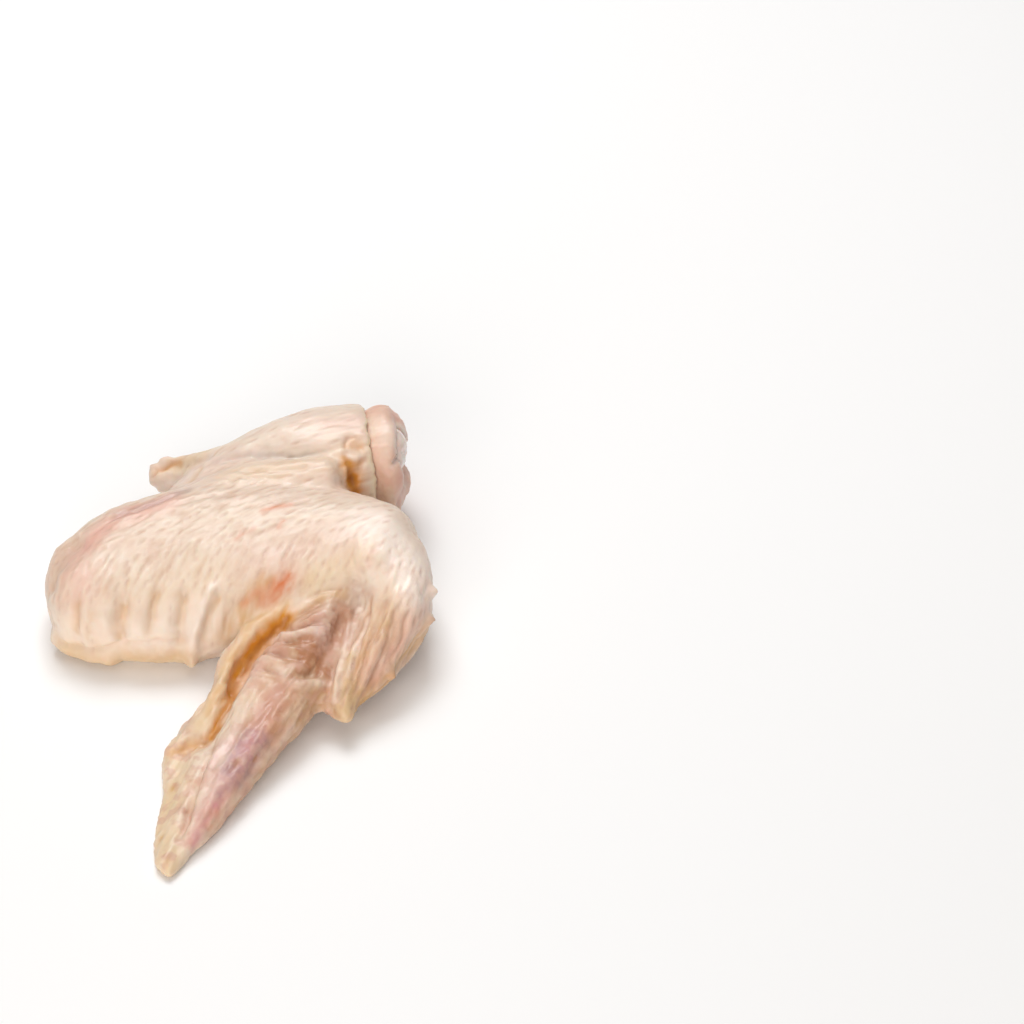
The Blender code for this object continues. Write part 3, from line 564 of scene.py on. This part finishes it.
        (1.9, 3.2, [(-23.4, 51.6, 9.4), (-18.0, 50.0, 11.0), (-14.0, 47.0, 14.0)]),
        (1.3, 1.6, [(-22.0, 55.6, 16.6), (-14.0, 57.0, 20.2)]),
        (0.35, 9.0, [(-6.0, 50.0, 26.0), (10.0, 52.0, 29.0), (26.0, 53.0, 30.0)]),
        (1.0, 0.8, [(25.4, 43.2, 27.3), (26.6, 42.8, 27.0)]),
        (1.3, 6.5, [(31.0, 19.0, 27.0), (39.6, 11.4, 23.9), (42.6, 3.1, 20.6)]),
        (0.55, 8.0, [(-34.0, 1.0, 11.0), (-22.0, -1.0, 12.0), (-10.0, 0.0, 13.0)]),
        (0.5, 4.0, [(31.0, 7.0, 24.4), (33.0, 4.0, 22.0)]),
        (0.7, 1.7, [(-4.0, 5.4, 20.0), (-7.2, 1.1, 16.4), (-10.2, -3.2, 9.0)]),
        (0.5, 1.2, [(11.1, -17.4, 14.1), (12.9, -21.1, 13.8), (16.4, -22.4, 13.8), (23.0, -19.3, 11.5)]),
        (0.7, 0.9, [(9.1, -6.4, 12.8), (14.0, -8.0, 16.4), (20.6, -7.6, 16.4)]),
        (0.3, 1.3, [(5.8, -24.0, 12.4), (2.0, -33.0, 10.0), (-3.4, -45.0, 7.6)]),
        (0.6, 1.0, [(15.0, -31.6, 9.0), (8.0, -43.0, 6.6), (2.0, -55.0, 5.0)]),
        (0.5, 0.9, [(13.6, -1.2, 17.8), (17.0, 0.4, 18.9)]),
        (0.6, 1.4, [(26.2, -11.6, 13.8), (25.0, -15.6, 12.8), (24.4, -20.0, 11.6), (23.6, -23.8, 10.0)]),
        (0.6, 0.8, [(30.6, -4.0, 18.0), (28.6, -12.0, 15.2), (27.2, -18.0, 12.8)]),
    ]),
}
# Painted shade along each crease of the thumb.
for depth, _, line in thumb_folds:
    if depth > 0.0:
        tints["brown"][1].append((0.55, 0.55, line))
for name, (_, patches) in tints.items():
    cover = np.zeros(len(places))
    for strength, half_width, line in patches:
        cover = np.maximum(cover, strength * near_line(wandered, line, half_width))
    store(skin, name, cover)


class Link:
    """A shader or geometry node's output that ordinary sums can be written with."""

    def __init__(self, tree, socket):
        self.tree, self.socket = tree, socket

    def node(self, kind, settings=None, inputs=None, output=0):
        """One output of a new node, from its type, its settings and the values or links of its sockets."""
        made = self.tree.nodes.new(kind)
        for key, value in (settings or {}).items():
            if key == "stops":
                ramp = made.color_ramp
                while len(ramp.elements) < len(value):
                    ramp.elements.new(0.5)
                for element, (place, colour) in zip(ramp.elements, value):
                    element.position, element.color = place, (*colour, 1.0)
            else:
                setattr(made, key, value)
        for key, value in (inputs or {}).items():
            if isinstance(value, Link):
                self.tree.links.new(value.socket, made.inputs[key])
            else:
                made.inputs[key].default_value = value
        return Link(self.tree, made.outputs[output])

    def sum_with(self, operation, first, second):
        return self.node("ShaderNodeMath", {"operation": operation}, {0: first, 1: second})

    def __add__(self, other):
        return self.sum_with("ADD", self, other)

    def __sub__(self, other):
        return self.sum_with("SUBTRACT", self, other)

    def __rsub__(self, other):
        return self.sum_with("SUBTRACT", other, self)

    def __mul__(self, other):
        return self.sum_with("MULTIPLY", self, other)

    def __truediv__(self, other):
        return self.sum_with("DIVIDE", self, other)

    def __rtruediv__(self, other):
        return self.sum_with("DIVIDE", other, self)

    def __neg__(self):
        return self.sum_with("MULTIPLY", self, -1.0)

    __radd__ = __add__
    __rmul__ = __mul__

    def clipped(self, low, high):
        """0 to 1 as the value goes from low to high."""
        return self.node("ShaderNodeMapRange", {}, {0: self, 1: low, 2: high, 3: 0.0, 4: 1.0})

    def under(self, colour, share):
        """This colour with another laid over it by a share."""
        inputs = {0: share, 6: self, 7: (*colour, 1.0)}
        return self.node("ShaderNodeMix", {"data_type": "RGBA"}, inputs, 2)

    def field(self, name):
        """The numbers that store keeps under a name."""
        return self.node("ShaderNodeAttribute", {"attribute_name": name}, {}, 2)

    def noise(self, scale, detail, roughness=0.5):
        """Soft blotches over these places."""
        inputs = {"Vector": self, "Scale": scale, "Detail": detail, "Roughness": roughness}
        return self.node("ShaderNodeTexNoise", {}, inputs)

    def relief(self, strength, distance):
        """The way the surface faces when this height is laid on it."""
        return self.node("ShaderNodeBump", {}, {"Strength": strength, "Distance": distance, "Height": self})


# Feather roots: metres, and the draw they are scattered by.
PIT_SIZES = {"Spacing": 0.0022, "Depth": 0.00034, "Length": 0.0017, "Width": 0.00038, "Seed": 7}


def feather_pits(material):
    """A node tree that pits a skin with feather roots, spaced evenly and lying along the vector lie."""
    tree = bpy.data.node_groups.new("feather pits", "GeometryNodeTree")
    face = tree.interface
    face.new_socket("Geometry", in_out="INPUT", socket_type="NodeSocketGeometry")
    for name, value in PIT_SIZES.items():
        kind = "NodeSocketInt" if isinstance(value, int) else "NodeSocketFloat"
        face.new_socket(name, in_out="INPUT", socket_type=kind)
    face.new_socket("Geometry", in_out="OUTPUT", socket_type="NodeSocketGeometry")
    given = tree.nodes.new("NodeGroupInput").outputs
    start = Link(tree, given["Geometry"])
    size = {name: Link(tree, given[name]) for name in PIT_SIZES}

    def named(name, kind):
        return start.node("GeometryNodeInputNamedAttribute", {"data_type": kind}, {"Name": name})

    def vectors(operation, inputs, output=0):
        return start.node("ShaderNodeVectorMath", {"operation": operation}, inputs, output)

    def falling(square):
        return start.node("ShaderNodeMath", {"operation": "EXPONENT"}, {0: square})

    roots = start.node(
        "GeometryNodeDistributePointsOnFaces",
        {"distribute_method": "POISSON"},
        {
            "Mesh": start,
            "Distance Min": size["Spacing"],
            "Density Max": 4.0 / (size["Spacing"] * size["Spacing"]),
            "Density Factor": named("pitted", "FLOAT"),
            "Seed": size["Seed"],
        },
    )
    nearest = start.node("GeometryNodeSampleNearest", {"domain": "POINT"}, {"Geometry": roots})

    def at_root(value, kind):
        return start.node(
            "GeometryNodeSampleIndex",
            {"data_type": kind, "domain": "POINT"},
            {"Geometry": roots, "Value": value, "Index": nearest},
        )

    # Each place is measured from its nearest root, along and across the way that the root lies.
    place = start.node("GeometryNodeInputPosition")
    normal = start.node("GeometryNodeInputNormal")
    root = at_root(place, "FLOAT_VECTOR")
    way = vectors("NORMALIZE", {0: at_root(named("lie", "FLOAT_VECTOR"), "FLOAT_VECTOR")})
    drawn = start.node("FunctionNodeRandomValue", {"data_type": "FLOAT"}, {2: 0.35, 3: 1.0}, 1)
    luck = at_root(drawn, "FLOAT")
    gap = vectors("SUBTRACT", {0: place, 1: root})
    along = vectors("DOT_PRODUCT", {0: gap, 1: way}, 1)
    whole = vectors("DOT_PRODUCT", {0: gap, 1: gap}, 1)
    across = whole - along * along
    reach = size["Length"] * (0.6 + 0.5 * luck)
    square = along * along / (reach * reach) + across / (size["Width"] * size["Width"])
    pit = falling(-square) * luck
    rim = falling(square * -0.22) * luck
    shift = size["Depth"] * (0.42 * rim - pit)
    offset = vectors("SCALE", {0: normal, "Scale": shift})
    moved = start.node("GeometryNodeSetPosition", {}, {"Geometry": start, "Offset": offset})
    kept = start.node(
        "GeometryNodeStoreNamedAttribute",
        {"data_type": "FLOAT", "domain": "POINT"},
        {"Geometry": moved, "Name": "pit", "Value": pit},
    )
    plain = start.node("GeometryNodeRealizeInstances", {}, {"Geometry": kept})
    dressed = start.node("GeometryNodeSetMaterial", {}, {"Geometry": plain, "Material": material})
    end = tree.nodes.new("NodeGroupOutput")
    tree.links.new(dressed.socket, end.inputs["Geometry"])
    return tree


def moist_material(name, settings):
    """A new material, its shader's sockets, and the places that its patterns read."""
    material = bpy.data.materials.new(name)
    material.use_nodes = True
    tree = material.node_tree
    sockets = tree.nodes["Principled BSDF"].inputs
    for socket, value in settings.items():
        sockets[socket].default_value = value
    return material, sockets, Link(tree, tree.nodes.new("ShaderNodeTexCoord").outputs["Object"])


def paint(sockets, colour, roughness, relief):
    """Links what varies over a piece to its shader."""
    for name, link in (("Base Color", colour), ("Roughness", roughness), ("Normal", relief)):
        link.tree.links.new(link.socket, sockets[name])


CREAM_PALE = (0.88, 0.765, 0.65)
CREAM = (0.82, 0.67, 0.54)
CREAM_DEEP = (0.74, 0.54, 0.41)
ROSE = (0.81, 0.575, 0.49)
# Painted shade for the folds, and also the brown of the grain's own darker streaks.
CREASE_SHADE_AND_STREAK = (0.55, 0.32, 0.20)
MOTTLE = (0.64, 0.36, 0.27)
FAT_SPOT = (0.78, 0.62, 0.42)
CUT_FAT = (0.86, 0.70, 0.50)
PIT = (0.56, 0.32, 0.22)
SKIN_SETTINGS = {
    "Subsurface Weight": 0.22,
    "Subsurface Radius": (1.0, 0.45, 0.25),
    "Subsurface Scale": 0.003,
    "IOR": 1.42,
    "Coat Weight": 0.25,
    "Coat Roughness": 0.18,
}


def skin_material():
    """Moist, see-through poultry skin: cream over pink, yellow where fat lies under it, with painted shade in
    its folds and hollows and painted highlights on its ridges.
    """
    material, sockets, place = moist_material("raw poultry skin", SKIN_SETTINGS)
    blotches = place.noise(95.0, 3.0, 0.6)
    clouds = place.noise(38.0, 2.0, 0.55)
    fine = place.noise(620.0, 3.0, 0.6)
    broken = blotches.clipped(0.32, 0.68)
    drawn = place.field("grain")
    colour = place.node(
        "ShaderNodeValToRGB",
        {"stops": [(0.30, CREAM_DEEP), (0.52, CREAM), (0.74, CREAM_PALE)]},
        {0: blotches * 0.45 + clouds * 0.4 + 0.16 * drawn + 0.06},
    )
    colour = colour.under(ROSE, clouds.clipped(0.46, 0.66) * 0.4)
    # Painted shade in the folds, by their depth.
    colour = colour.under(CREASE_SHADE_AND_STREAK, place.field("creased") * 0.42)
    # The grain's low streaks are browner: the skin's own streaks.
    colour = colour.under(CREASE_SHADE_AND_STREAK, (-drawn).clipped(0.05, 0.75) * 0.26)
    for name, (tint, _) in tints.items():
        colour = colour.under(tint, place.field(name) * (0.64 + 0.34 * broken - 0.42 * drawn))
    flecks = place.noise(290.0, 2.0)
    mottled = place.field("mottled")
    colour = colour.under(MOTTLE, mottled * flecks.clipped(0.51, 0.63) * 0.55)
    colour = colour.under(FAT_SPOT, mottled * flecks.clipped(0.46, 0.36) * 0.22)
    colour = colour.under(CUT_FAT, place.field("cut") * 0.8)
    colour = colour.under(PIT, place.field("pit") * (0.36 + 0.32 * broken + 0.35 * place.field("dense")))
    wet = place.noise(170.0, 2.0).clipped(0.56, 0.68)
    roughness = 0.54 - 0.14 * blotches + 0.08 * fine - 0.15 * wet
    wrinkles = place.noise(330.0, 4.0, 0.6) * 0.6 + fine * 0.4
    paint(sockets, colour, roughness, wrinkles.relief(0.35, 0.0005))
    return material


skin_finish = skin_material()
skin.data.materials.append(skin_finish)
pits = skin.modifiers.new("feather pits", "NODES")
pits.node_group = feather_pits(skin_finish)
for socket in pits.node_group.interface.items_tree:
    if socket.name in PIT_SIZES:
        pits[socket.identifier] = PIT_SIZES[socket.name]
settled(skin)
skin.data.shade_smooth()
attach(skin, "root")
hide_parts("wing")


# The shoulder meat: the muscle of the upper arm, sliced through when the wing was cut from the bird.
# It fills the drumette and bulges out of the skin at the cut, in bundles parted by films of sinew.

MEAT_GRAIN = 0.0006  # edge of the finest facets, metres
MEAT_IRONING = 8  # passes that take the solid's facets out
MEAT_RUN = (1.0, 0.1, 0.05)  # the way that its fibres run
BONE_MIDDLE = np.array((52.0, 22.6))  # y and z at the cut
MEAT_SETTINGS = {
    "Subsurface Weight": 0.25,
    "Subsurface Radius": (1.0, 0.35, 0.2),
    "Subsurface Scale": 0.003,
    "Coat Weight": 0.15,
    "Coat Roughness": 0.22,
}

meat = fine_surface("muscle", "shoulder_meat", MEAT_GRAIN, MEAT_IRONING)
places, normals = read_places(meat)
wandered = places + 0.7 * cloudy_ways(places / 3.5, (31, 32, 33))
at_cut = eased(places[:, 0], 32.0, 34.0)

# Films of sinew part the cut muscle, and its bundles bulge between them.
sinews = [
    [(38.0, 47.5, 19.0), (37.5, 43.5, 14.0), (35.0, 39.5, 9.0)],
    [(38.6, 50.5, 15.5), (38.6, 51.5, 9.0), (34.0, 52.0, 2.0)],
    [(38.6, 57.0, 19.5), (37.5, 61.5, 15.0), (34.0, 67.0, 11.0)],
    [(38.0, 56.0, 26.0), (36.0, 60.0, 29.0)],
    [(37.6, 46.5, 24.5), (36.0, 41.0, 26.0)],
]
bundles = [
    ((38.0, 43.5, 20.0), 0.9, 4.0),
    ((38.0, 45.5, 10.0), 1.0, 5.0),
    ((38.6, 57.5, 9.5), 1.2, 5.5),
    ((37.5, 62.5, 22.0), 0.9, 5.0),
    ((36.5, 51.5, 29.5), 0.7, 3.0),
]
film = np.zeros(len(places))
for line in sinews:
    film = np.maximum(film, near_line(wandered, line, 0.95))
lift = -1.3 * film * at_cut
for centre, height, radius in bundles:
    lift += height * near_spot(places, centre, radius) * at_cut
lift += 0.22 * fibres(places, MEAT_RUN, 0.8, 41) + 0.16 * cloudy(places / 1.1, 43) * at_cut
lift += 0.3 * cloudy(places / 4.0, 44) * at_cut

# The meat closes round the bone's end.
round_bone = places[:, 1:] - BONE_MIDDLE
gap = np.linalg.norm(round_bone, axis=1)
collar = np.exp(-(((gap - 6.0) / 1.2) ** 2)) * at_cut
places[:, 1:] -= round_bone / gap[:, None] * (0.36 * collar)[:, None]
places += normals * lift[:, None]
places[:, 2] = np.maximum(places[:, 2], 0.0)
move_to(meat, places)
store(meat, "sinew", np.maximum(film, 0.8 * collar))
store(meat, "fibre", fibres(places, MEAT_RUN, 0.8, 45))
store(meat, "cut", eased(normals[:, 0], 0.35, 0.8) * (0.7 + 0.3 * cloudy(places / 3.0, 46)))


def meat_material():
    """Raw pale meat: peach pink with faint fibres and a white film of sinew."""
    material, sockets, place = moist_material("raw meat", MEAT_SETTINGS)
    blotches = place.noise(130.0, 3.0)
    stops = [(0.35, (0.79, 0.51, 0.39)), (0.65, (0.86, 0.66, 0.53))]
    colour = place.node("ShaderNodeValToRGB", {"stops": stops}, {0: blotches})
    colour = colour.under((0.77, 0.44, 0.35), place.field("cut") * 0.75)
    colour = colour.under((0.66, 0.31, 0.24), place.field("fibre").clipped(0.0, 0.8) * 0.35)
    colour = colour.under((0.86, 0.76, 0.68), place.field("sinew") * 0.75)
    paint(sockets, colour, 0.56 - 0.2 * blotches, blotches.relief(0.3, 0.0004))
    return material


meat.data.materials.append(meat_material())
meat.data.shade_smooth()
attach(meat, "root")
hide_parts("muscle")


# The upper arm bone: its round end is capped with pearly gristle, cut free of the shoulder joint.
# Its shaft runs down inside the meat to the elbow.

BONE_GRAIN = 0.0005  # edge of the finest facets, metres
BONE_IRONING = 6  # passes that take the solid's facets out
BONE_SETTINGS = {
    "Subsurface Weight": 0.2,
    "Subsurface Scale": 0.002,
    "Coat Weight": 0.5,
    "Coat Roughness": 0.12,
}

bone = fine_surface("humerus", "arm_bone", BONE_GRAIN, BONE_IRONING)
places, normals = read_places(bone)
at_cut = eased(places[:, 0], 35.0, 37.5)
groove = near_line(places, [(38.4, 47.0, 25.5), (39.6, 51.0, 22.0), (38.4, 54.6, 17.6)], 1.3)
lift = (0.25 * cloudy(places / 2.6, 51) - 0.55 * groove) * at_cut
places += normals * lift[:, None]
move_to(bone, places)
off_middle = np.linalg.norm(places[:, 1:] - BONE_MIDDLE, axis=1)
store(bone, "rim", np.clip(eased(off_middle, 3.4, 5.6) * at_cut + 0.5 * groove, 0.0, 1.0))


def gristle_material():
    """Wet gristle: pearly white, a little pink at its rim."""
    material, sockets, place = moist_material("gristle", BONE_SETTINGS)
    veins = place.noise(210.0, 4.0)
    stops = [(0.36, (0.80, 0.64, 0.55)), (0.6, (0.88, 0.81, 0.74))]
    colour = place.node("ShaderNodeValToRGB", {"stops": stops}, {0: veins})
    colour = colour.under((0.74, 0.44, 0.37), place.field("rim") * 0.55)
    paint(sockets, colour, 0.34 - 0.14 * veins, veins.relief(0.25, 0.0003))
    return material


bone.data.materials.append(gristle_material())
bone.data.shade_smooth()
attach(bone, "root")
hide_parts("humerus")


# The table: a plain white sheet, flat under the wing and wide enough to fill the picture.
# Soft studio light falls on it from behind, from above and, weaker, from low in front.

floor_corners = [(-3.0, -2.0, 0.0), (3.0, -2.0, 0.0), (3.0, 4.0, 0.0), (-3.0, 4.0, 0.0)]
floor_mesh = bpy.data.meshes.new("table")
floor_mesh.from_pydata(floor_corners, [], [(0, 1, 2, 3)])
floor = in_scene("table", floor_mesh)
white = bpy.data.materials.new("white table")
white.use_nodes = True
white_sockets = white.node_tree.nodes["Principled BSDF"].inputs
white_sockets["Base Color"].default_value = (0.97, 0.965, 0.965, 1.0)
white_sockets["Roughness"].default_value = 0.6
floor_mesh.materials.append(white)


def soft_light(name, place, size, power, colour):
    """A square studio light that faces the wing."""
    light = bpy.data.lights.new(name, "AREA")
    light.size, light.energy, light.color = size, power, colour
    lamp = in_scene(name, light)
    lamp.location = place
    lamp.rotation_mode = "QUATERNION"
    lamp.rotation_quaternion = (-Vector(place)).to_track_quat("-Z", "Y")


soft_light("key light", (-0.07, 0.50, 0.84), 0.50, 5.2, (0.96, 0.985, 1.0))
soft_light("overhead light", (0.0, 0.12, 1.05), 1.10, 3.6, (1.0, 0.99, 0.975))
soft_light("low front fill", (-0.22, -1.00, 0.36), 0.80, 7.5, (1.0, 0.98, 0.955))
world = bpy.data.worlds.new("studio")
world.use_nodes = True
sky = world.node_tree.nodes["Background"].inputs
sky["Color"].default_value = (1.0, 0.92, 0.86, 1.0)
sky["Strength"].default_value = 0.19
bpy.context.scene.world = world
bpy.context.scene.view_settings.view_transform = "Standard"

# The camera looks down at the wing from 40 degrees above the table, in front of it and to its right.
camera = bpy.data.cameras.new("camera")
camera.sensor_width = 36.0
camera.lens = 118.125
eye = in_scene("camera", camera)
eye.location = (0.0646, -0.5838, 0.5360)
eye.rotation_euler = (math.radians(90.0 - 40.0), 0.0, 0.0)
bpy.context.scene.camera = eye
